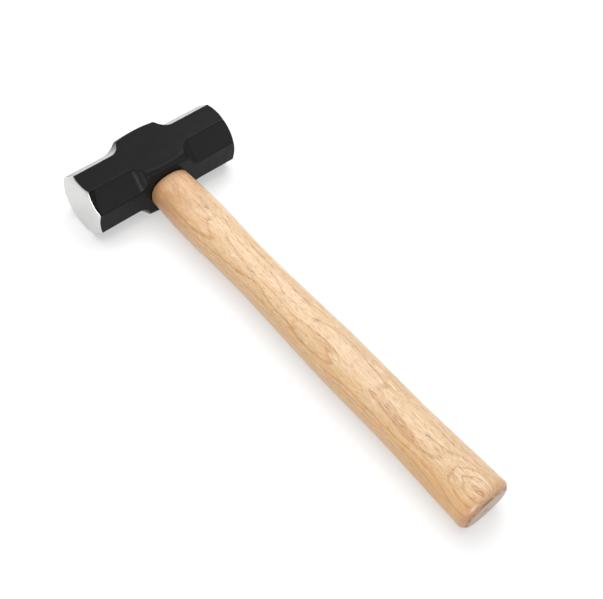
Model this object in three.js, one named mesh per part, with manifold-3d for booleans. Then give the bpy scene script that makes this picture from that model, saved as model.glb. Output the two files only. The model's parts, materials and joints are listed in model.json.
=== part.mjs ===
// Lump hammer: a forged octagonal steel head on an oak handle, held by one timber and two steel wedges.
//
// The hammer is drawn in its own axes: X runs from the head's centre along the handle to the butt, Y is
// the striking direction from face to face, and Z is the third side. The whole is then laid on a surface
// the way it lies when it is put down: on the lower cheek edge of the head and the belly of the butt.
import * as THREE from 'three';
import { mergeVertices } from 'three/addons/utils/BufferGeometryUtils.js';
import Module from 'manifold-3d';

const wasm = await Module();
wasm.setup();

// ---- Driving dimensions, in millimetres ----
const GAP = 0.3; // play between pieces that touch

const HEAD_LENGTH = 120; // face to face
const HEAD_WIDTH = 44; // across the flats
const FACE_FLAT_RADIUS = 18; // flat middle of each striking face
const FACE_EDGE_DEPTH = 2.2; // how far the rounded edge runs back at the octagon's corners
const CHEEK_LENGTH = 31; // square middle of the head
const CHEEK_CORNER = 3.6; // rounding of the square's corners
const SWEEP_RADIUS = 11; // hollow sweep from the square to the octagon

const EYE_ASPECT = 0.8; // height over width
const EYE_MOUTH = 13.6; // half widths of the oval eye: at the handle side,
const EYE_THROAT = 12.8; // at its narrowest,
const EYE_TOP = 14.4; // and at the wedged side
const EYE_THROAT_X = 4; // where it is narrowest

const HANDLE_END = 335.5; // butt face, measured from the head's centre
const HANDLE_ROUNDNESS = 2.3; // exponent of the oval section: 2 is an ellipse, more is squarer
const SHOULDER_ASPECT = 0.9; // thickness over width at the head
const BUTT_ASPECT = 0.83; // and at the butt
const BUTT_ROUND = 5.2; // rounding of the butt's edge
const BUTT_FLAT_ASPECT = 0.7; // thickness over width of the flat inside that edge
const SHOULDER_CHAMFER = 0.7;
const TONGUE_PROUD = 1.6; // wood standing out of the eye's wedged side

// Half widths of the handle, from the shoulder at the head to the flare at the butt.
const HANDLE_OUTLINE = [
  { x: 22.3, halfWidth: 16.0 }, // shoulder
  { x: 62, halfWidth: 17.2 }, // neck
  { x: 122, halfWidth: 15.9 }, // waist
  { x: 200, halfWidth: 17.7 }, // grip swell
  { x: 262, halfWidth: 17.7 }, // hollow for the little finger
  { x: 310, halfWidth: 18.9 }, // flare
  { x: 335.5, halfWidth: 19.7 }, // butt
];

const TIMBER_WEDGE = { length: 28, thickTop: 5.2, thickTip: 1.4 };
const STEEL_WEDGE = { length: 20, thickTop: 3.2, thickTip: 0.8, width: 15.5, fromMiddle: 6.4 };

const AROUND = 48; // facets round an oval
const half = HEAD_WIDTH / 2;

// ---- Solids: closed three.js meshes, joined and cut with manifold ----
function solid(geometry) {
  geometry.deleteAttribute('normal');
  geometry.deleteAttribute('uv');
  const merged = mergeVertices(geometry, 1e-4);
  const mesh = new wasm.Mesh({
    numProp: 3,
    vertProperties: new Float32Array(merged.attributes.position.array),
    triVerts: new Uint32Array(merged.index.array),
  });
  return new wasm.Manifold(mesh);
}

function geometryOf(manifold) {
  const mesh = manifold.getMesh();
  const geometry = new THREE.BufferGeometry();
  geometry.setAttribute('position', new THREE.BufferAttribute(mesh.vertProperties, 3));
  geometry.setIndex(new THREE.BufferAttribute(mesh.triVerts, 1));
  geometry.computeVertexNormals();
  return geometry;
}

// A straight bar along Y with the given outline in X and Z, centred on y = 0.
function barAlongY(shape, length) {
  const geometry = new THREE.ExtrudeGeometry(shape, { depth: length, bevelEnabled: false, curveSegments: 6 });
  geometry.translate(0, 0, -length / 2);
  geometry.rotateX(Math.PI / 2);
  return geometry;
}

// A turned body about X whose round section is then pressed into an oval.
// profile lists [x, halfWidth]; aspectAt(x) is height over width; roundness is the oval's exponent.
function ovalAlongX(profile, aspectAt, roundness) {
  const points = [new THREE.Vector2(0, profile[0][0])];
  for (const [x, halfWidth] of profile) points.push(new THREE.Vector2(halfWidth, x));
  points.push(new THREE.Vector2(0, profile[profile.length - 1][0]));
  const geometry = new THREE.LatheGeometry(points, AROUND);
  geometry.rotateZ(-Math.PI / 2); // the lathe turns about Y; its axis now runs along +X
  const position = geometry.attributes.position;
  for (let i = 0; i < position.count; i += 1) {
    const x = position.getX(i);
    const radius = Math.hypot(position.getY(i), position.getZ(i));
    if (radius === 0) continue;
    const cos = position.getY(i) / radius;
    const sin = position.getZ(i) / radius;
    const press = (value) => Math.sign(value) * Math.abs(value) ** (2 / roundness);
    position.setY(i, radius * press(cos));
    position.setZ(i, radius * press(sin) * aspectAt(x));
  }
  return geometry;
}

// ---- Head ----
// The octagonal bar: a square bar with its four long corners cut off at 45 degrees.
function octagonBar() {
  const corner = half * Math.tan(Math.PI / 8);
  const shape = new THREE.Shape();
  shape.moveTo(half, -corner);
  for (const [x, z] of [[half, corner], [corner, half], [-corner, half], [-half, corner],
    [-half, -corner], [-corner, -half], [corner, -half]]) {
    shape.lineTo(x, z);
  }
  shape.closePath();
  return solid(barAlongY(shape, HEAD_LENGTH));
}

// The square middle, with rounded corners.
function squareBar(length) {
  const flat = half - CHEEK_CORNER;
  const shape = new THREE.Shape();
  shape.moveTo(half, -flat);
  for (let quarter = 0; quarter < 4; quarter += 1) {
    const turn = (quarter * Math.PI) / 2;
    const centre = new THREE.Vector2(flat, flat).rotateAround(new THREE.Vector2(), turn);
    shape.absarc(centre.x, centre.y, CHEEK_CORNER, turn, turn + Math.PI / 2, false);
  }
  shape.closePath();
  return solid(barAlongY(shape, length));
}

// What the sweeps leave of one square corner: a wedge-shaped slab standing on the 45 degree facet,
// with a hollow quarter arc at each end. It is drawn in Y (along the head) and height over the facet.
function cornerSlab() {
  const height = half * (Math.SQRT2 - 1) + 1;
  const top = CHEEK_LENGTH / 2;
  const foot = top + SWEEP_RADIUS;
  const shape = new THREE.Shape();
  shape.moveTo(-foot, -half);
  shape.lineTo(foot, -half);
  shape.lineTo(foot, 0);
  shape.absarc(foot, SWEEP_RADIUS, SWEEP_RADIUS, -Math.PI / 2, -Math.PI, true);
  shape.lineTo(top, height);
  shape.lineTo(-top, height);
  shape.absarc(-foot, SWEEP_RADIUS, SWEEP_RADIUS, 0, -Math.PI / 2, true);
  shape.closePath();
  const depth = HEAD_WIDTH;
  const geometry = new THREE.ExtrudeGeometry(shape, { depth, bevelEnabled: false, curveSegments: 14 });
  geometry.translate(0, half, -depth / 2);
  return geometry;
}

// The cheeks: the square bar, kept only where a corner slab covers it.
function cheeks() {
  const length = CHEEK_LENGTH + 2 * SWEEP_RADIUS;
  const square = squareBar(length);
  let kept = null;
  for (const corner of [1, 3, 5, 7]) {
    const slab = cornerSlab();
    slab.rotateZ(Math.PI / 2); // along the head
    slab.rotateY((corner * Math.PI) / 4);
    const piece = square.intersect(solid(slab));
    kept = kept ? kept.add(piece) : piece;
  }
  return kept;
}

// Both ends are turned: a flat face with a rounded edge.
function turnedEnds() {
  const cornerRadius = half / Math.cos(Math.PI / 8);
  const reach = cornerRadius - FACE_FLAT_RADIUS;
  const edgeRadius = (reach * reach + FACE_EDGE_DEPTH * FACE_EDGE_DEPTH) / (2 * FACE_EDGE_DEPTH);
  const centre = HEAD_LENGTH / 2 - edgeRadius;
  const pastCorners = 1.12; // the edge's arc runs on a little beyond the octagon's corners
  const sweep = pastCorners * Math.asin(reach / edgeRadius);
  const steps = 8;
  const rim = [];
  for (let i = 0; i <= steps; i += 1) {
    const angle = (sweep * i) / steps;
    rim.push([FACE_FLAT_RADIUS + edgeRadius * Math.sin(angle), centre + edgeRadius * Math.cos(angle)]);
  }
  const points = [new THREE.Vector2(0, -HEAD_LENGTH / 2)];
  for (const [radius, y] of rim) points.push(new THREE.Vector2(radius, -y));
  const widest = rim[rim.length - 1][0] + half;
  points.push(new THREE.Vector2(widest, -HEAD_LENGTH / 3));
  points.push(new THREE.Vector2(widest, HEAD_LENGTH / 3));
  for (const [radius, y] of [...rim].reverse()) points.push(new THREE.Vector2(radius, y));
  points.push(new THREE.Vector2(0, HEAD_LENGTH / 2));
  return solid(new THREE.LatheGeometry(points, 2 * AROUND));
}

// The eye narrows from both sides to its throat, so the wedged wood cannot pull out.
function eyeHalfWidth(x) {
  const span = x > EYE_THROAT_X ? half - EYE_THROAT_X : half + EYE_THROAT_X;
  const mouth = x > EYE_THROAT_X ? EYE_MOUTH : EYE_TOP;
  const t = Math.min(1, Math.abs(x - EYE_THROAT_X) / span);
  return EYE_THROAT + (mouth - EYE_THROAT) * t * t;
}

// The eye's shape between two stations, shrunk by inset all round.
function eyeBody(from, to, inset) {
  const steps = 10;
  const profile = [];
  for (let i = 0; i <= steps; i += 1) {
    const x = from + ((to - from) * i) / steps;
    profile.push([x, eyeHalfWidth(x) - inset]);
  }
  return ovalAlongX(profile, () => EYE_ASPECT, 2);
}

function hammerHead() {
  const overrun = 2;
  const eye = solid(eyeBody(-half - overrun, half + overrun, 0));
  return octagonBar().add(cheeks()).intersect(turnedEnds()).subtract(eye);
}

// ---- Wedges ----
// A wedge outline in length and thickness, tip along +length, grown by margin.
function wedgeShape(length, thickTop, thickTip, margin) {
  const shape = new THREE.Shape();
  const top = thickTop / 2 + margin;
  const tip = thickTip / 2 + margin;
  shape.moveTo(-margin, -top);
  shape.lineTo(length + margin, -tip);
  shape.lineTo(length + margin, tip);
  shape.lineTo(-margin, top);
  shape.closePath();
  return shape;
}

const tongueTopX = -half - TONGUE_PROUD;

// The timber wedge lies in the eye's XY plane. The blank is wider than the eye.
function timberWedgeBlank(margin) {
  const { length, thickTop, thickTip } = TIMBER_WEDGE;
  const shape = wedgeShape(length, thickTop, thickTip, margin);
  const geometry = barAlongY(shape, 4 * EYE_TOP);
  geometry.translate(tongueTopX, 0, 0);
  return solid(geometry);
}

// A steel wedge stands across the timber wedge, on one side of its middle.
function steelWedgeBlank(side, margin) {
  const { length, thickTop, thickTip, width, fromMiddle } = STEEL_WEDGE;
  const shape = wedgeShape(length, thickTop, thickTip, margin);
  const depth = width + 2 * margin;
  const geometry = new THREE.ExtrudeGeometry(shape, { depth, bevelEnabled: false });
  geometry.translate(tongueTopX, side * fromMiddle, -depth / 2);
  return solid(geometry);
}

function timberWedge() {
  const withinEye = solid(eyeBody(-half - 2 * TONGUE_PROUD, half, GAP));
  return timberWedgeBlank(0)
    .intersect(withinEye)
    .subtract(steelWedgeBlank(-1, GAP))
    .subtract(steelWedgeBlank(1, GAP));
}

// ---- Handle ----
function handleAspect(x) {
  const start = HANDLE_OUTLINE[0].x;
  const t = THREE.MathUtils.clamp((x - start) / (HANDLE_END - start), 0, 1);
  const edge = THREE.MathUtils.clamp(1 - (HANDLE_END - x) / BUTT_ROUND, 0, 1);
  const rounded = 1 - Math.sqrt(1 - edge ** 2);
  const aspect = THREE.MathUtils.lerp(SHOULDER_ASPECT, BUTT_ASPECT, t);
  return THREE.MathUtils.lerp(aspect, BUTT_FLAT_ASPECT, rounded);
}

// The handle's outline in X and half width, a smooth curve through the stations above.
const outlineCurve = new THREE.SplineCurve(
  HANDLE_OUTLINE.map(({ x, halfWidth }) => new THREE.Vector2(x, halfWidth)),
);

function handleProfile() {
  const stations = outlineCurve.getPoints(36).map(({ x, y }) => [x, y]);
  const [shoulderX, shoulderHalf] = stations[0];
  const [, buttHalf] = stations[stations.length - 1];
  const body = stations.filter(([x]) => x > shoulderX + SHOULDER_CHAMFER && x < HANDLE_END - BUTT_ROUND);
  const steps = 4;
  const buttEdge = [];
  for (let i = 0; i <= steps; i += 1) {
    const angle = (Math.PI / 2) * (i / steps);
    const x = HANDLE_END - BUTT_ROUND * (1 - Math.sin(angle));
    buttEdge.push([x, buttHalf - BUTT_ROUND * (1 - Math.cos(angle))]);
  }
  return [
    [shoulderX, shoulderHalf - SHOULDER_CHAMFER],
    [shoulderX + SHOULDER_CHAMFER, shoulderHalf],
    ...body,
    ...buttEdge,
  ];
}

function handle() {
  const bite = 1; // the tongue runs this far into the shoulder, so that the two become one body
  const grip = solid(ovalAlongX(handleProfile(), handleAspect, HANDLE_ROUNDNESS));
  const tongue = solid(eyeBody(tongueTopX, half + GAP + bite, GAP));
  return grip
    .add(tongue)
    .subtract(timberWedgeBlank(GAP))
    .subtract(steelWedgeBlank(-1, GAP))
    .subtract(steelWedgeBlank(1, GAP));
}

// ---- Assembly ----
const blackPaint = { color: 0x1c1d1f, roughness: 0.45, metalness: 0.2 };
const lacqueredOak = { color: 0xd9ac75, roughness: 0.5, metalness: 0 };
const rawTimber = { color: 0xc79a62, roughness: 0.8, metalness: 0 };
const bareSteel = { color: 0x8f9092, roughness: 0.4, metalness: 1 };

const hammer = new THREE.Group();

function addPiece(name, manifold, finish) {
  const mesh = new THREE.Mesh(geometryOf(manifold), new THREE.MeshStandardMaterial(finish));
  mesh.name = name;
  hammer.add(mesh);
}

addPiece('hammer_head', hammerHead(), blackPaint);
addPiece('handle', handle(), lacqueredOak);
addPiece('timber_wedge', timberWedge(), rawTimber);
addPiece('steel_wedge_near', steelWedgeBlank(-1, 0), bareSteel);
addPiece('steel_wedge_far', steelWedgeBlank(1, 0), bareSteel);

// Laid down, the hammer touches the surface with its lower cheek edge and the underside of the butt:
// the angle between its own axis and the surface is the smallest one that any station allows.
const cheekEdgeX = half - CHEEK_CORNER;
const lieAngle = Math.min(
  ...handleProfile()
    .filter(([x]) => x > cheekEdgeX + HEAD_LENGTH)
    .map(([x, halfWidth]) => Math.atan((half - halfWidth * handleAspect(x)) / (x - cheekEdgeX))),
);
hammer.rotation.y = lieAngle;

// The origin is on the surface, in the middle of the ground that the hammer covers.
const part = new THREE.Group();
part.add(hammer);
part.updateMatrixWorld(true);
const extent = new THREE.Box3().setFromObject(part, true);
const middle = extent.getCenter(new THREE.Vector3());
hammer.position.set(-middle.x, -middle.y, -extent.min.z);

export default part;
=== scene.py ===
"""Looks of the lump hammer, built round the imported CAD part.

Shapes are drawn in the hammer's own axes, in millimetres: X runs from the head's centre along the handle
to the butt, Y from face to face, and Z is the third side. TO_ROW takes them to the row frame, in metres.
"""

import json
import math

import bpy
import numpy as np
from mathutils import Matrix, Vector, noise


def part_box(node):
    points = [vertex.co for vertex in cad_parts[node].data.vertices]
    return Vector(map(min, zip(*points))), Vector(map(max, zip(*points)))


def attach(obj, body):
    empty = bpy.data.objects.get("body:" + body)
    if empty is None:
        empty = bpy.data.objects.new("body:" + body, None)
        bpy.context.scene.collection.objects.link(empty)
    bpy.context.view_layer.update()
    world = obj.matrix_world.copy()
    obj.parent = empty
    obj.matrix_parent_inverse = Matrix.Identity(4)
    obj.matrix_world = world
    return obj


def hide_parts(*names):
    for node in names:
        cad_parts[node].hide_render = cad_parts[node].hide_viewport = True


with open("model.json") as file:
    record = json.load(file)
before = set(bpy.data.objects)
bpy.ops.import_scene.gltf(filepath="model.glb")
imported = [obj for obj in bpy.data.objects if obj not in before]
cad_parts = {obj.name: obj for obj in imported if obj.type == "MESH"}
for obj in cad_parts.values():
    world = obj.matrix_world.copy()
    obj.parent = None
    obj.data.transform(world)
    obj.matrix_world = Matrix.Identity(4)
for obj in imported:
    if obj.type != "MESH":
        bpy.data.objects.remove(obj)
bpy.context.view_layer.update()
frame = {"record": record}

MM = 0.001

# ---- Driving dimensions, in millimetres; they repeat the CAD part's ----
HALF = 22.0  # half the head's width across the flats
FACE_AT = 60.0  # striking face, from the head's centre
FACE_FLAT_RADIUS = 18.0
FACE_EDGE_DEPTH = 2.2
CHEEK_LENGTH = 31.0
CHEEK_CORNER = 3.6
SWEEP_RADIUS = 11.0

EYE_ASPECT = 0.8
EYE_MOUTH, EYE_THROAT, EYE_TOP = 13.6, 12.8, 14.4
EYE_THROAT_X = 4.0

SHOULDER_AT = 22.3
HANDLE_END = 335.5
HANDLE_ROUNDNESS = 2.3
BUTT_ROUND = 5.2
SHOULDER_ASPECT, BUTT_ASPECT, BUTT_FLAT_ASPECT = 0.9, 0.83, 0.7
TONGUE_PROUD = 1.6
HANDLE_OUTLINE = [  # distance from the head's centre, half width
    (SHOULDER_AT, 16.0),
    (62.0, 17.2),
    (122.0, 15.9),
    (200.0, 17.7),
    (262.0, 17.7),
    (310.0, 18.9),
    (HANDLE_END, 19.7),
]

TIMBER_WEDGE = {"length": 28.0, "thick_top": 5.2, "thick_tip": 1.4}
STEEL_WEDGE = {"length": 20.0, "thick_top": 3.2, "thick_tip": 0.8, "width": 15.5, "from_middle": 6.4}

# ---- Finish of the real surfaces, in millimetres ----
FORGED_EDGE = 0.6  # rounding of the head's long edges
CORNER_GROWTH = 2.2  # how much rounder the cheeks' corners are at their ends than in the middle
RIM_EDGE = 0.35  # rounding where the turned end meets the sides
FORGED_RIPPLE = 0.12  # depth of the forging's unevenness
EYE_CHAMFER = 0.7
SHOULDER_ROUND = 0.9
SHAVED_RIPPLE = 0.15  # unevenness left by sanding the handle
FIT = 0.08  # line of shadow between wood and steel in the eye
TONGUE_TOP_ROUND = 0.5

# ---- Marks and painted shade on the wood, in millimetres in the hammer's axes ----
PITH_Y = 10.0
PITH_Z, PITH_CLIMB = -34.0, 0.02  # the pith's height beside the head, and its climb along the handle
RING_WIDTH = 1.8
KNOT_CENTRE, KNOT_SPREAD = (326.0, -2.0), (20.0, 10.0)  # X and Y
PIN_CENTRE, PIN_SPREAD = (62.6, 1.5), (4.0, 2.4)  # X and Y
HEART_CENTRE, HEART_SPREAD = (-1.5, 0.5), (1.8, 1.6)  # Y and Z
RUBBED_AND_SHADED_LENGTH = 60.0  # the neck that is rubbed and has painted shade from the head, from the shoulder
SHADED_COLLAR_LENGTH = 10.0  # the collar of painted shade, from the shoulder
BUTT_DARK_LENGTH = 11.0  # the darker band that ends at the butt
WORN_LINE = 0.7  # the worn line's distance from the butt's end

# ---- Glow of the floor: the light table, and the patch beyond the head ----
TABLE_GLOW, PATCH_GLOW = 0.46, 4.0
PATCH_START, PATCH_FULL = 45.0, 110.0  # beyond the head's centre, away from the handle, in millimetres

# ---- View, in millimetres and degrees in the row frame ----
CAMERA_AIM = (-2.61, 10.67, 20.0)
CAMERA_DISTANCE = 702.0
CAMERA_AZIMUTH, CAMERA_ELEVATION, CAMERA_ROLL = -46.34, 54.35, 6.77
LENS_LENGTH, SENSOR_WIDTH = 63.0, 36.0

# ---- Mesh fineness ----
HEAD_AROUND = 288
HEAD_SIDE_ROWS = 145
HALVINGS = 36  # of each ray's reach, to find the head's skin
CAP_DEPTH = 24.0  # the face's rays fan out from this far behind it
EYE_AROUND = 96
HANDLE_AROUND = 120
GRIP_ROWS = 230

FACET_LEAN = HALF * (1 - math.tan(math.pi / 8))  # how far |z| and |x| differ at most on a 45 degree facet
TONGUE_TOP = -HALF - TONGUE_PROUD
FACE_REACH = HALF / math.cos(math.pi / 8) - FACE_FLAT_RADIUS
FACE_EDGE_RADIUS = (FACE_REACH**2 + FACE_EDGE_DEPTH**2) / (2 * FACE_EDGE_DEPTH)


# ---- Placement: the hammer lies where the CAD part lies ----
def butt_direction():
    """The handle's direction in the row frame, from the record's butt mount."""
    mounts = {mount["name"]: mount for mount in frame["record"]["mounts"]}
    return Vector(mounts["butt_end"]["axis"])


head_low, head_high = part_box("hammer_head")
HEAD_CENTRE = (head_low + head_high) / 2
LIE_ANGLE = math.atan2(-butt_direction().z, butt_direction().x)
TO_ROW = (
    Matrix.Translation(HEAD_CENTRE)
    @ Matrix.Rotation(LIE_ANGLE, 4, "Y")
    @ Matrix.Scale(MM, 4)
)


# ---- Mesh helpers ----
def new_object(name, points, faces):
    """A mesh object from points and faces, still in the hammer's axes."""
    mesh = bpy.data.meshes.new(name)
    mesh.from_pydata([tuple(point) for point in points], [], faces)
    mesh.validate()
    obj = bpy.data.objects.new(name, mesh)
    bpy.context.scene.collection.objects.link(obj)
    return obj


def loft(name, rings):
    """A closed body through rings of equally many points; its first and last entries are single points."""
    around = len(rings[1])
    points = [rings[0]]
    for ring in rings[1:-1]:
        points.extend(ring)
    points.append(rings[-1])
    last = len(points) - 1
    faces = []
    for i in range(around):
        j = (i + 1) % around
        faces.append((0, 1 + j, 1 + i))
        for row in range(len(rings) - 3):
            low, high = 1 + row * around, 1 + (row + 1) * around
            faces.append((low + i, low + j, high + j, high + i))
        faces.append((last, last - around + i, last - around + j))
    return new_object(name, points, faces)


def combine(obj, tool, operation):
    """Cuts obj by tool, or keeps what lies in both, and removes the tool."""
    modifier = obj.modifiers.new(operation, "BOOLEAN")
    modifier.operation = operation
    modifier.solver = "EXACT"
    modifier.object = tool
    apply_modifiers(obj)
    bpy.data.objects.remove(tool)


def apply_modifiers(obj):
    """Bakes obj's modifiers into its mesh."""
    bpy.context.view_layer.update()
    shaped = obj.evaluated_get(bpy.context.evaluated_depsgraph_get())
    mesh = bpy.data.meshes.new_from_object(shaped)
    obj.modifiers.clear()
    obj.data = mesh


def soften(obj, width, segments=2):
    """Rounds obj's sharp edges."""
    modifier = obj.modifiers.new("soften", "BEVEL")
    modifier.width = width
    modifier.segments = segments
    modifier.limit_method = "ANGLE"
    modifier.angle_limit = math.radians(40)
    apply_modifiers(obj)


def finish_piece(obj, node, material, sharp_degrees=35):
    """Shades obj, gives it its material, lays it in the row frame and lets it stand for its CAD node."""
    obj.data.materials.clear()
    obj.data.materials.append(material)
    obj.data.shade_smooth()
    obj.data.set_sharp_from_angle(angle=math.radians(sharp_degrees))
    obj.data.transform(TO_ROW)
    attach(obj, "root")
    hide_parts(node)


# ---- Head ----
def rounded_max(a, b, radius):
    """The larger of two signed distances, with the edge where they meet rounded off."""
    plain = np.minimum(-radius, np.maximum(a, b))
    return plain + np.hypot(np.maximum(radius + a, 0), np.maximum(radius + b, 0))


def corner_rise(y):
    """Height of the cheeks' swept corners over the 45 degree facets, at y along the head."""
    run = np.clip(CHEEK_LENGTH / 2 + SWEEP_RADIUS - y, 0, SWEEP_RADIUS)
    return SWEEP_RADIUS - np.sqrt(SWEEP_RADIUS**2 - run**2)


def face_height(radius):
    """Height of the turned end over the head's centre, at a radius from the head's axis."""
    across = np.clip(radius - FACE_FLAT_RADIUS, 0, 0.95 * FACE_EDGE_RADIUS)
    return FACE_AT - FACE_EDGE_RADIUS + np.sqrt(FACE_EDGE_RADIUS**2 - across**2)


def head_distance(points):
    """How far points lie outside the forging, less than nothing inside. The eye is cut later."""
    x, y, z = np.abs(points).T
    corner = CHEEK_CORNER + CORNER_GROWTH * np.minimum(2 * y / CHEEK_LENGTH, 1) ** 2
    across = x - (HALF - corner)
    up = z - (HALF - corner)
    square = np.hypot(np.maximum(across, 0), np.maximum(up, 0))
    square += np.minimum(np.maximum(across, up), 0) - corner
    facet = (x + z) / math.sqrt(2) - HALF - corner_rise(y)
    sides = rounded_max(square, facet, FORGED_EDGE)
    turned = y - face_height(np.hypot(x, z))
    return rounded_max(sides, turned, RIM_EDGE)


def meet_skin(origins, directions):
    """Where rays from inside the head meet its skin, by halving the reach again and again."""
    near = np.zeros(len(origins))
    far = np.full(len(origins), 2 * FACE_AT)
    for _ in range(HALVINGS):
        middle = (near + far) / 2
        inside = head_distance(origins + directions * middle[:, None]) < 0
        near = np.where(inside, middle, near)
        far = np.where(inside, far, middle)
    return origins + directions * near[:, None]


def head_rows():
    """Each row of rays as its origin along Y and its steepness, from the near face to the far face.

    Over each face the steepness climbs in steps that are finest where the skin turns the edge.
    """
    cap_origin = FACE_AT - CAP_DEPTH
    along_side = np.arctan(np.arange(0.6, 19.5, 0.6) / HALF)
    over_edge = np.radians(np.arange(42.0, 50.0, 0.3))
    over_face = np.radians(np.arange(51.0, 89.5, 2.0))
    climb = np.concatenate([along_side, over_edge, over_face])
    sides = [(y, 0.0) for y in np.linspace(-cap_origin, cap_origin, HEAD_SIDE_ROWS)]
    near_cap = [(-cap_origin, -steep) for steep in climb[::-1]]
    far_cap = [(cap_origin, steep) for steep in climb]
    return near_cap + sides + far_cap


def forged(points):
    """Moves the painted skin in by a shallow unevenness, and leaves the ground faces true."""
    painted = np.clip(behind_face(points) / 3, 0, 1)
    bumps = np.array([noise.fractal(Vector(p) / 16, 0.8, 2.0, 2) for p in points])
    depth = FORGED_RIPPLE * painted * np.clip(0.5 + bumps, 0, 1)
    inward = points * (1, 0, 1)
    inward /= np.maximum(np.linalg.norm(inward, axis=1), 1)[:, None]
    return points - inward * depth[:, None]


def eye_half_width(x):
    """Half width of the eye, which narrows from both sides to its throat."""
    toward_handle = x > EYE_THROAT_X
    span = HALF - EYE_THROAT_X if toward_handle else HALF + EYE_THROAT_X
    mouth = EYE_MOUTH if toward_handle else EYE_TOP
    share = min(1.0, abs(x - EYE_THROAT_X) / span)
    return EYE_THROAT + (mouth - EYE_THROAT) * share**2


def oval_ring(x, half_width, aspect, roundness, around):
    """A ring of points about X: an ellipse when roundness is 2, squarer when it is more."""
    turn = np.arange(around) * 2 * math.pi / around
    cos, sin = np.cos(turn), np.sin(turn)
    y = np.sign(cos) * np.abs(cos) ** (2 / roundness)
    z = np.sign(sin) * np.abs(sin) ** (2 / roundness)
    return np.column_stack([np.full(around, x), half_width * y, half_width * aspect * z])


def eye_cutter():
    """The eye's shape, with a small chamfer at both mouths."""
    reach = HALF + 1.5  # past the head's sides, so that the cut is clean
    rings = []
    for x in np.linspace(-reach, reach, 61):
        flare = max(0.0, abs(x) - (HALF - EYE_CHAMFER))
        rings.append(oval_ring(x, eye_half_width(x) + flare, EYE_ASPECT, 2, EYE_AROUND))
    return loft("eye", [(-reach, 0, 0), *rings, (reach, 0, 0)])


def behind_face(points):
    """How far points lie behind the turned end that is nearer to them."""
    return face_height(np.hypot(points[:, 0], points[:, 2])) - np.abs(points[:, 1])


def hammer_head(material):
    """The forging: rays from its middle meet its skin, and the eye is cut through it."""
    turn = np.arange(HEAD_AROUND) * 2 * math.pi / HEAD_AROUND
    rings = []
    for y, steep in head_rows():
        spread = math.cos(steep)
        directions = np.column_stack(
            [spread * np.cos(turn), np.full(HEAD_AROUND, math.sin(steep)), -spread * np.sin(turn)]
        )
        origins = np.tile((0.0, y, 0.0), (HEAD_AROUND, 1))
        rings.append(forged(meet_skin(origins, directions)))
    head = loft("hammer_head_forging", [(0, -FACE_AT, 0), *rings, (0, FACE_AT, 0)])
    combine(head, eye_cutter(), "DIFFERENCE")
    note_face_depth(head)
    finish_piece(head, "hammer_head", material)


def note_face_depth(head):
    """Stores on each point how far it lies behind the turned end, for the line where the paint stops."""
    count = len(head.data.vertices)
    points = np.zeros(count * 3)
    head.data.vertices.foreach_get("co", points)
    behind = behind_face(points.reshape(-1, 3))
    attribute = head.data.attributes.new("behind_face", "FLOAT", "POINT")
    attribute.data.foreach_set("value", behind.astype(np.float32))


# ---- Handle ----
def catmull_rom(points, steps):
    """A smooth curve through points, with steps pieces between each two."""
    points = [np.array(p, float) for p in points]
    padded = [2 * points[0] - points[1], *points, 2 * points[-1] - points[-2]]
    curve = []
    for i in range(len(points) - 1):
        before, start, end, after = padded[i : i + 4]
        for t in np.arange(steps) / steps:
            curve.append(
                0.5
                * (
                    2 * start
                    + (end - before) * t
                    + (2 * before - 5 * start + 4 * end - after) * t**2
                    + (3 * start - before - 3 * end + after) * t**3
                )
            )
    curve.append(points[-1])
    return np.array(curve)


def handle_half_width(x):
    """Half width of the handle at a distance from the head's centre."""
    curve = catmull_rom(HANDLE_OUTLINE, 24)
    return np.interp(x, curve[:, 0], curve[:, 1])


def handle_aspect(x):
    """Thickness over width: it falls evenly from shoulder to butt, and faster over the butt's edge."""
    share = np.clip((x - SHOULDER_AT) / (HANDLE_END - SHOULDER_AT), 0, 1)
    aspect = SHOULDER_ASPECT + (BUTT_ASPECT - SHOULDER_ASPECT) * share
    edge = np.clip(1 - (HANDLE_END - x) / BUTT_ROUND, 0, 1)
    return aspect + (BUTT_FLAT_ASPECT - aspect) * (1 - math.sqrt(1 - edge**2))


def grip_rings(around):
    """Rings of the grip: the shoulder's rounded edge, the long outline, and the rounded butt."""
    stations = []
    for angle in np.radians(np.linspace(90, 0, 7)):
        x = SHOULDER_AT + SHOULDER_ROUND * (1 - math.sin(angle))
        stations.append((x, handle_half_width(x) - SHOULDER_ROUND * (1 - math.cos(angle))))
    for x in np.linspace(SHOULDER_AT + SHOULDER_ROUND, HANDLE_END - BUTT_ROUND, GRIP_ROWS)[1:]:
        stations.append((x, handle_half_width(x)))
    for angle in np.radians(np.linspace(0, 90, 9))[1:]:
        x = HANDLE_END - BUTT_ROUND * (1 - math.sin(angle))
        stations.append((x, handle_half_width(x) - BUTT_ROUND * (1 - math.cos(angle))))
    for share in (0.85, 0.6, 0.3, 0.08):
        stations.append((HANDLE_END, share * (handle_half_width(HANDLE_END) - BUTT_ROUND)))
    return [shaved(oval_ring(x, r, handle_aspect(x), HANDLE_ROUNDNESS, around)) for x, r in stations]


def shaved(ring):
    """Moves a ring in by the faint unevenness of a hand-sanded handle."""
    bumps = np.array([noise.noise(Vector((p[0] / 45, p[1] / 14, p[2] / 14))) for p in ring])
    inward = ring * (0, 1, 1)
    inward /= np.maximum(np.linalg.norm(inward, axis=1), 1)[:, None]
    return ring - inward * (SHAVED_RIPPLE * np.clip(0.5 + bumps, 0, 1))[:, None]


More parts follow.
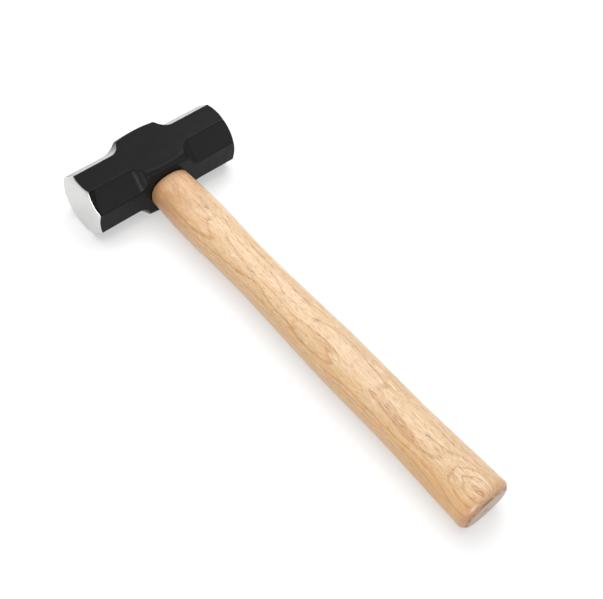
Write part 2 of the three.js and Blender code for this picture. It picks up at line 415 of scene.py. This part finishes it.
def tongue_rings(around):
    """Rings of the tongue that fills the eye, from its sawn top to the shoulder."""
    rings = []
    top_round = TONGUE_TOP_ROUND
    for share in (0.1, 0.4, 0.7, 0.9):
        rings.append(oval_ring(TONGUE_TOP, share * (EYE_TOP - top_round), EYE_ASPECT, 2, around))
    for angle in np.radians(np.linspace(90, 0, 5)):
        x = TONGUE_TOP + top_round * (1 - math.sin(angle))
        width = eye_half_width(x) - FIT - top_round * (1 - math.cos(angle))
        rings.append(oval_ring(x, width, EYE_ASPECT, 2, around))
    for x in np.linspace(TONGUE_TOP + top_round, SHOULDER_AT, 40)[1:]:
        rings.append(oval_ring(x, eye_half_width(x) - FIT, EYE_ASPECT, 2, around))
    return rings


def handle(material):
    """The oak handle with its tongue, slotted for the three wedges."""
    rings = tongue_rings(HANDLE_AROUND) + grip_rings(HANDLE_AROUND)
    body = loft("oak_handle", [(TONGUE_TOP, 0, 0), *rings, (HANDLE_END, 0, 0)])
    combine(body, timber_wedge_blank(FIT), "DIFFERENCE")
    for side in (-1, 1):
        combine(body, steel_wedge_blank(side, FIT), "DIFFERENCE")
    finish_piece(body, "handle", material)


# ---- Wedges ----
def tapered_plate(name, length, thick_top, thick_tip, width, margin):
    """A wedge lying in X and Z, its thick end at the tongue's top, grown by margin."""
    points = []
    for x, thick in ((-margin, thick_top), (length + margin, thick_tip)):
        for y_side in (-1, 1):
            for z_side in (-1, 1):
                y = y_side * (thick / 2 + margin)
                z = z_side * (width / 2 + margin)
                points.append((TONGUE_TOP + x, y, z))
    faces = [(0, 1, 3, 2), (4, 6, 7, 5), (0, 4, 5, 1), (2, 3, 7, 6), (0, 2, 6, 4), (1, 5, 7, 3)]
    return new_object(name, points, faces)


def timber_wedge_blank(margin):
    """The timber wedge before it is trimmed to the eye: thin in Z, wider than the eye in Y."""
    sizes = TIMBER_WEDGE
    blank = tapered_plate(
        "timber_blank", sizes["length"], sizes["thick_top"], sizes["thick_tip"], 4 * EYE_TOP, margin
    )
    blank.data.transform(Matrix.Rotation(math.pi / 2, 4, "X"))
    return blank


def steel_wedge_blank(side, margin):
    """A steel wedge, thin in Y, standing across the timber one."""
    sizes = STEEL_WEDGE
    blank = tapered_plate(
        "steel_blank", sizes["length"], sizes["thick_top"], sizes["thick_tip"], sizes["width"], margin
    )
    blank.data.transform(Matrix.Translation((0, side * sizes["from_middle"], 0)))
    return blank


def eye_fill():
    """What fits in the eye, from just over the tongue's top to the handle's side of the head."""
    top = TONGUE_TOP - 1
    rings = []
    for x in np.linspace(top, HALF, 20):
        rings.append(oval_ring(x, eye_half_width(x) - FIT, EYE_ASPECT, 2, EYE_AROUND))
    return loft("eye_fill", [(top, 0, 0), *rings, (HALF, 0, 0)])


def timber_wedge(material):
    """The timber wedge, trimmed to the eye and slotted for the steel ones."""
    wedge = timber_wedge_blank(0)
    combine(wedge, eye_fill(), "INTERSECT")
    for side in (-1, 1):
        combine(wedge, steel_wedge_blank(side, FIT), "DIFFERENCE")
    soften(wedge, 0.2)
    wedge.name = "timber_wedge_split"
    finish_piece(wedge, "timber_wedge", material)


def steel_wedge(side, node, material):
    """One of the two steel wedges, at side -1 or 1 of the middle."""
    wedge = steel_wedge_blank(side, 0)
    soften(wedge, 0.25, 3)
    wedge.name = node + "_driven"
    finish_piece(wedge, node, material)


# ---- Materials ----
class Recipe:
    """A node material being put together."""

    def __init__(self, name):
        self.material = bpy.data.materials.new(name)
        self.material.use_nodes = True
        self.tree = self.material.node_tree
        self.surface = self.tree.nodes["Principled BSDF"]

    def feed(self, node, inputs):
        """Links an input that is given a socket, and sets one that is given a value."""
        for key, value in inputs.items():
            if isinstance(value, bpy.types.NodeSocket):
                self.tree.links.new(value, node.inputs[key])
            else:
                node.inputs[key].default_value = value

    def add(self, kind, inputs, **settings):
        node = self.tree.nodes.new("ShaderNode" + kind)
        for key, value in settings.items():
            setattr(node, key, value)
        self.feed(node, inputs)
        return node

    def finish(self, inputs):
        """Sets the surface's sockets and returns the material."""
        self.feed(self.surface, inputs)
        return self.material

    def place(self):
        """The point being shaded, in the hammer's axes and millimetres."""
        coordinates = self.add("TexCoord", {})
        inputs = {
            "Vector": coordinates.outputs["Object"],
            "Location": HEAD_CENTRE,
            "Rotation": (0, LIE_ANGLE, 0),
            "Scale": (MM, MM, MM),
        }
        return self.add("Mapping", inputs, vector_type="TEXTURE").outputs[0]

    def axes(self, where):
        """A vector's X, Y and Z."""
        return self.add("SeparateXYZ", {0: where}).outputs

    def stretch(self, where, scale):
        return self.add("VectorMath", {0: where, 1: scale}, operation="MULTIPLY").outputs[0]

    def math(self, operation, a, b=0.0, c=0.0):
        return self.add("Math", {0: a, 1: b, 2: c}, operation=operation).outputs[0]

    def times(self, a, b):
        return self.math("MULTIPLY", a, b)

    def inverse(self, share):
        """What is left of 1."""
        return self.math("SUBTRACT", 1.0, share)

    def noise(self, where, scale, detail=3.0, roughness=0.5):
        """Noise between 0 and 1; scale is in waves to the millimetre along each axis."""
        inputs = {
            "Vector": self.stretch(where, scale),
            "Scale": 1.0,
            "Detail": detail,
            "Roughness": roughness,
        }
        return self.add("TexNoise", inputs).outputs["Fac"]

    def between(self, value, low, high):
        """0 below low, 1 above high, and smooth between them."""
        inputs = {"Value": value, "From Min": low, "From Max": high}
        return self.add("MapRange", inputs, interpolation_type="SMOOTHSTEP").outputs[0]

    def scaled(self, value, low, high):
        """Takes 0 to 1 to the range low to high."""
        return self.add("MapRange", {"Value": value, "To Min": low, "To Max": high}).outputs[0]

    def mix(self, share, a, b):
        inputs = {0: share, 6: a, 7: b}
        return self.add("Mix", inputs, data_type="RGBA").outputs[2]

    def mix_value(self, share, a, b):
        return self.add("Mix", {0: share, 2: a, 3: b}, data_type="FLOAT").outputs[0]

    def bell(self, a, b, centre, spread):
        """1 where a and b are at the centre, falling to 0 around it like a bell."""
        off_a = self.math("DIVIDE", self.math("SUBTRACT", a, centre[0]), spread[0])
        off_b = self.math("DIVIDE", self.math("SUBTRACT", b, centre[1]), spread[1])
        away = self.math("MULTIPLY_ADD", off_a, off_a, self.times(off_b, off_b))
        return self.math("EXPONENT", self.times(away, -1.0))

    def bump(self, height, distance, under=None):
        """A bump of the given depth in millimetres, on top of another one."""
        inputs = {"Height": height, "Distance": distance * MM, "Strength": 1.0}
        if under is not None:
            inputs["Normal"] = under
        return self.add("Bump", inputs).outputs[0]


def colour(red, green, blue):
    return (red, green, blue, 1.0)


def even(waves):
    """The scale of a noise with as many waves to the millimetre along each axis."""
    return (waves, waves, waves)


def grain(along, across):
    """The scale of a noise drawn out along the handle."""
    return (along, across, across)


# ---- Head materials ----
def black_paint(recipe, place, behind):
    """Near-black paint with dust in it, and a strip of painted shade behind the near face."""
    blotches = recipe.noise(place, even(0.07), 3)
    dust = recipe.noise(place, even(1.6), 5, 0.7)
    paint = recipe.mix(blotches, colour(0.0068, 0.0068, 0.0071), colour(0.0098, 0.0098, 0.0098))
    paint = recipe.mix(recipe.between(dust, 0.66, 0.8), paint, colour(0.04, 0.04, 0.04))
    # painted shade: a near-black strip behind the near face
    return recipe.mix(painted_shade_strip(recipe, place, behind), paint, colour(0.0015, 0.0015, 0.0015))


def painted_shade_strip(recipe, place, behind):
    """1 in a strip of painted shade a few millimetres wide behind the near face, on the 45 degree facets
    only.
    """
    x, y, z = recipe.axes(place)
    lean = recipe.math("SUBTRACT", recipe.math("ABSOLUTE", z), recipe.math("ABSOLUTE", x))
    width = recipe.math("MULTIPLY_ADD", lean, 0.16, 3.6)
    strip = recipe.between(recipe.math("SUBTRACT", width, behind), -0.5, 0.5)
    strip = recipe.times(strip, recipe.math("LESS_THAN", recipe.math("ABSOLUTE", lean), FACET_LEAN))
    return recipe.times(strip, recipe.math("LESS_THAN", y, 0.0))


def ground_steel(recipe, place, grind):
    """Bare steel in the tones of its grinding marks, with a few duller smudges."""
    steel = recipe.mix(grind, colour(0.53, 0.53, 0.525), colour(0.72, 0.715, 0.705))
    smudge = recipe.between(recipe.noise(place, even(0.12), 3), 0.45, 0.75)
    return recipe.mix(recipe.times(smudge, 0.5), steel, colour(0.61, 0.6, 0.585))


def painted_forging():
    """Satin black paint on the forging, and bare ground steel on the faces."""
    recipe = Recipe("painted_forging")
    place = recipe.place()
    behind = recipe.add("Attribute", {}, attribute_name="behind_face").outputs["Fac"]
    ragged = recipe.scaled(recipe.noise(place, even(0.9), 4), -0.25, 0.25)
    painted = recipe.between(recipe.math("ADD", behind, ragged), 0.28, 0.42)
    grind = recipe.noise(place, (0.35, 1.0, 7.0), 5, 0.65)

    paint_gloss = recipe.scaled(recipe.noise(place, even(0.22), 4), 0.26, 0.38)
    steel_gloss = recipe.scaled(grind, 0.3, 0.46)
    peel = recipe.bump(recipe.noise(place, even(0.8), 3), 0.05)
    peel = recipe.bump(recipe.noise(place, even(0.12), 2), 0.25, peel)
    scratched = recipe.bump(grind, 0.02)
    normal = recipe.add("Mix", {0: painted, 4: scratched, 5: peel}, data_type="VECTOR").outputs[1]
    steel = ground_steel(recipe, place, grind)
    paint = black_paint(recipe, place, behind)
    return recipe.finish(
        {
            "Base Color": recipe.mix(painted, steel, paint),
            "Metallic": recipe.inverse(painted),
            "Roughness": recipe.mix_value(painted, steel_gloss, paint_gloss),
            "Specular IOR Level": 0.1,
            "Normal": normal,
        }
    )


# ---- Oak ----
def early_wood(recipe, place, knot):
    """1 in the dark early wood of each ring round the pith, fading to 0 in the late wood."""
    x, y, z = recipe.axes(place)
    off_y = recipe.math("SUBTRACT", y, PITH_Y)
    off_z = recipe.math("SUBTRACT", z, recipe.math("MULTIPLY_ADD", x, PITH_CLIMB, PITH_Z))
    radius = recipe.math("MULTIPLY_ADD", off_y, off_y, recipe.math("POWER", off_z, 2.0))
    radius = recipe.math("SQRT", radius)
    wander = recipe.noise(place, grain(0.008, 0.04), 2)
    radius = recipe.math("MULTIPLY_ADD", wander, 9.0, radius)
    waver = recipe.noise(place, grain(0.025, 0.13), 3, 0.42)
    radius = recipe.math("MULTIPLY_ADD", waver, recipe.scaled(knot, 3.0, 5.0), radius)
    radius = recipe.math("MULTIPLY_ADD", knot, 5.5, radius)
    ring = recipe.math("FRACT", recipe.math("DIVIDE", radius, RING_WIDTH))
    fading = recipe.inverse(recipe.between(ring, 0.08, 0.36))
    return recipe.times(fading, recipe.between(ring, 0.0, 0.08))


def figure_layers(recipe, place, knot, near_side, early, streaks, open_pores):
    """The wood's own figure, each layer as its share and its colour: streaks, pale mottle, rings, pores."""
    mottle = recipe.between(recipe.noise(place, grain(0.12, 0.4), 4, 0.6), 0.5, 0.75)
    by_knot = recipe.scaled(knot, 0.36, 0.7)
    ring_share = recipe.math("MAXIMUM", by_knot, recipe.scaled(near_side, 0.36, 0.85))
    return [
        (recipe.between(streaks, 0.42, 0.68), colour(0.54, 0.325, 0.155)),
        (recipe.times(mottle, 0.7), colour(0.71, 0.555, 0.385)),
        (recipe.times(early, ring_share), colour(0.38, 0.18, 0.065)),
        (open_pores, colour(0.27, 0.13, 0.05)),
    ]


def mark_layers(recipe, place, knot):
    """Dark curls broken up round the knot, and the pin mark on the neck."""
    x, y, _ = recipe.axes(place)
    curl = recipe.math("SUBTRACT", recipe.noise(place, grain(0.06, 0.1), 2, 0.5), 0.5)
    curl = recipe.inverse(recipe.between(recipe.math("ABSOLUTE", curl), 0.008, 0.04))
    broken = recipe.between(recipe.noise(place, even(0.2), 2), 0.46, 0.6)
    curl = recipe.times(recipe.times(curl, broken), knot)
    speckle = recipe.between(recipe.noise(place, grain(0.7, 0.9), 2), 0.46, 0.56)
    pin = recipe.times(recipe.bell(x, y, PIN_CENTRE, PIN_SPREAD), speckle)
    return [
        (curl, colour(0.29, 0.12, 0.045)),
        (recipe.times(pin, 0.85), colour(0.18, 0.14, 0.055)),
    ]


def shade_and_wear_layers(recipe, place, near_side):
    """Painted shade on the near side; the neck, rubbed and with painted shade from the head; painted shade in
    the collar at the head; a darker band at the butt's edge and its worn line.
    """
    x = recipe.axes(place)[0]
    near_shade_towards_butt = recipe.scaled(recipe.between(x, 230.0, 320.0), 0.38, 0.62)
    rubbed_and_shaded = recipe.inverse(recipe.between(x, SHOULDER_AT, SHOULDER_AT + RUBBED_AND_SHADED_LENGTH))
    shaded_collar = recipe.inverse(recipe.between(x, SHOULDER_AT, SHOULDER_AT + SHADED_COLLAR_LENGTH))
    butt_darkening = recipe.between(x, HANDLE_END - BUTT_DARK_LENGTH, HANDLE_END - 1.0)
    worn = recipe.math("ABSOLUTE", recipe.math("SUBTRACT", x, HANDLE_END - WORN_LINE))
    worn = recipe.inverse(recipe.between(worn, 0.3, 0.7))
    patches = recipe.between(recipe.noise(place, even(0.3), 3), 0.4, 0.55)
    return [
        # painted shade on the handle's near side, growing towards the butt
        (recipe.times(near_side, near_shade_towards_butt), colour(0.5, 0.25, 0.062)),
        # the neck by the head: reddish rubbing and painted shade from the head
        (recipe.times(rubbed_and_shaded, recipe.scaled(near_side, 0.42, 0.8)), colour(0.43, 0.21, 0.09)),
        # painted shade in the collar where the handle meets the head
        (recipe.times(shaded_collar, 0.6), colour(0.3, 0.15, 0.065)),
        # the wood darker in a band that ends at the butt
        (recipe.times(butt_darkening, 0.6), colour(0.42, 0.19, 0.07)),
        (recipe.times(recipe.times(worn, patches), 0.8), colour(0.17, 0.07, 0.03)),
    ]


def end_grain_layer(recipe, place, early, pores):
    """The sawn butt and tongue top: ring marks, pores, and a dark heart mark near the middle."""
    x, y, z = recipe.axes(place)
    tone = recipe.mix(early, colour(0.44, 0.27, 0.18), colour(0.28, 0.14, 0.07))
    tone = recipe.mix(recipe.times(pores, 0.5), tone, colour(0.2, 0.12, 0.075))
    heart = recipe.bell(y, z, HEART_CENTRE, HEART_SPREAD)
    tone = recipe.mix(recipe.between(heart, 0.3, 0.5), tone, colour(0.03, 0.012, 0.01))
    at_butt = recipe.between(x, HANDLE_END - 0.25, HANDLE_END - 0.05)
    at_tongue = recipe.math("LESS_THAN", x, TONGUE_TOP + 0.1)
    return recipe.math("MAXIMUM", at_butt, at_tongue), tone


def oak():
    """Lacquered oak: rings round a pith below the handle, a knot by the butt, open pores, sawn ends."""
    recipe = Recipe("oak")
    place = recipe.place()
    x, y, _ = recipe.axes(place)
    knot = recipe.bell(x, y, KNOT_CENTRE, KNOT_SPREAD)
    near_side = recipe.inverse(recipe.between(y, -18.0, -5.0))  # the handle's side towards the near face
    streaks = recipe.noise(place, grain(0.03, 1.7), 4, 0.65)
    early = early_wood(recipe, place, knot)
    pores = recipe.between(recipe.noise(place, grain(0.2, 2.0), 2, 0.6), 0.55, 0.61)
    open_pores = recipe.times(pores, recipe.scaled(early, 0.5, 0.95))

    broad = recipe.noise(place, grain(0.012, 0.09), 3)
    tone = recipe.mix(broad, colour(0.55, 0.385, 0.225), colour(0.625, 0.46, 0.3))
    layers = [
        *figure_layers(recipe, place, knot, near_side, early, streaks, open_pores),
        *mark_layers(recipe, place, knot),
        *shade_and_wear_layers(recipe, place, near_side),
        end_grain_layer(recipe, place, early, pores),
    ]
    for share, layer in layers:
        tone = recipe.mix(share, tone, layer)

    normal = recipe.bump(recipe.inverse(open_pores), 0.06)
    normal = recipe.bump(recipe.noise(place, grain(0.05, 2.6), 3), 0.03, normal)
    return recipe.finish(
        {
            "Base Color": tone,
            "Roughness": recipe.scaled(streaks, 0.38, 0.56),
            "Coat Weight": 0.5,
            "Coat Roughness": 0.3,
            "Normal": normal,
        }
    )


# ---- Wedge materials ----
def wedge_timber():
    """Raw streaked hardwood."""
    recipe = Recipe("wedge_timber")
    place = recipe.place()
    streaks = recipe.noise(place, grain(0.06, 1.4), 4, 0.6)
    tone = recipe.mix(streaks, colour(0.33, 0.17, 0.075), colour(0.55, 0.33, 0.16))
    normal = recipe.bump(streaks, 0.15)
    return recipe.finish({"Base Color": tone, "Roughness": 0.72, "Normal": normal})


def driven_steel():
    """Dull rolled steel with patches of scale."""
    recipe = Recipe("driven_steel")
    place = recipe.place()
    scale = recipe.noise(place, even(0.9), 5, 0.65)
    tone = recipe.mix(recipe.between(scale, 0.4, 0.7), colour(0.36, 0.35, 0.34), colour(0.2, 0.175, 0.155))
    normal = recipe.bump(scale, 0.05)
    return recipe.finish(
        {"Base Color": tone, "Metallic": 1.0, "Roughness": recipe.scaled(scale, 0.45, 0.65), "Normal": normal}
    )


# ---- Stage ----
def floor():
    """A pale light table under the hammer, with a patch beyond the head that glows much brighter."""
    half_side = 3.0  # metres
    mesh = bpy.data.meshes.new("floor")
    corners = [(x, y, 0) for x, y in ((-1, -1), (1, -1), (1, 1), (-1, 1))]
    mesh.from_pydata([Vector(corner) * half_side for corner in corners], [], [(0, 1, 2, 3)])
    surface = bpy.data.objects.new("floor", mesh)
    bpy.context.scene.collection.objects.link(surface)
    recipe = Recipe("pale_floor")
    x, y, _ = recipe.axes(recipe.place())
    patch = recipe.between(recipe.times(x, -1.0), PATCH_START, PATCH_FULL)
    patch = recipe.times(patch, recipe.between(y, -60.0, -20.0))
    sheet = {
        "Base Color": colour(0.45, 0.45, 0.45),
        "Roughness": 0.9,
        "Specular IOR Level": 0.0,
        "Emission Color": colour(1.0, 1.0, 1.0),
        "Emission Strength": recipe.scaled(patch, TABLE_GLOW, PATCH_GLOW),
    }
    mesh.materials.append(recipe.finish(sheet))


def softbox(name, power, size, place, aim, mirrored=True, lights=True):
    """A square area light of the given watts, at a place in metres and turned to its aim.

    It can be kept out of the glossy reflections, or kept for them alone.
    """
    light = bpy.data.lights.new(name, "AREA")
    light.energy = power
    light.size = size
    lamp = bpy.data.objects.new(name, light)
    bpy.context.scene.collection.objects.link(lamp)
    lamp.location = place
    lamp.rotation_euler = (Vector(aim) - Vector(place)).to_track_quat("-Z", "Y").to_euler()
    lamp.visible_glossy = mirrored
    lamp.visible_diffuse = lights


def sky(brightness):
    """An even white room."""
    world = bpy.data.worlds.new("room")
    bpy.context.scene.world = world
    world.use_nodes = True
    world.node_tree.nodes["Background"].inputs["Color"].default_value = colour(1.0, 1.0, 1.0)
    world.node_tree.nodes["Background"].inputs["Strength"].default_value = brightness


def camera():
    """The view: a long lens looking down on the hammer from beyond the near face, turned a little."""
    azimuth = math.radians(CAMERA_AZIMUTH)
    elevation = math.radians(CAMERA_ELEVATION)
    roll = math.radians(CAMERA_ROLL)
    back = Vector(
        (
            math.cos(elevation) * math.cos(azimuth),
            math.cos(elevation) * math.sin(azimuth),
            math.sin(elevation),
        )
    )
    lens = bpy.data.cameras.new("camera")
    lens.sensor_width = SENSOR_WIDTH
    lens.lens = LENS_LENGTH
    lens.clip_start = 0.01
    eye = bpy.data.objects.new("camera", lens)
    bpy.context.scene.collection.objects.link(eye)
    eye.location = Vector(CAMERA_AIM) * MM + back * (CAMERA_DISTANCE * MM)
    level = (-back).to_track_quat("-Z", "Y")
    eye.rotation_mode = "QUATERNION"
    eye.rotation_quaternion = level @ Matrix.Rotation(roll, 4, "Z").to_quaternion()
    bpy.context.scene.camera = eye


# ---- Scene ----
camera()
floor()
sky(0.65)
MIDDLE = (0, 0, 0)
BY_THE_HEAD = (-0.15, 0, 0.02)
softbox("overhead", 10.0, 1.2, (-0.2, 0.1, 0.92), MIDDLE, mirrored=False)
softbox("fill", 2.2, 0.4, (0.2, -0.95, 0.25), MIDDLE)
softbox("sheen", 2.4, 0.5, (-0.35, 0.45, 0.9), MIDDLE)
softbox("streak", 4.2, 0.34, (0.64, -0.36, 0.42), BY_THE_HEAD, lights=False)
softbox("facets", 1.5, 0.6, (0.66, 0.42, 0.42), BY_THE_HEAD, lights=False)
bpy.context.scene.view_settings.view_transform = "Standard"

hammer_head(painted_forging())
handle(oak())
timber_wedge(wedge_timber())
bare = driven_steel()
steel_wedge(-1, "steel_wedge_near", bare)
steel_wedge(1, "steel_wedge_far", bare)
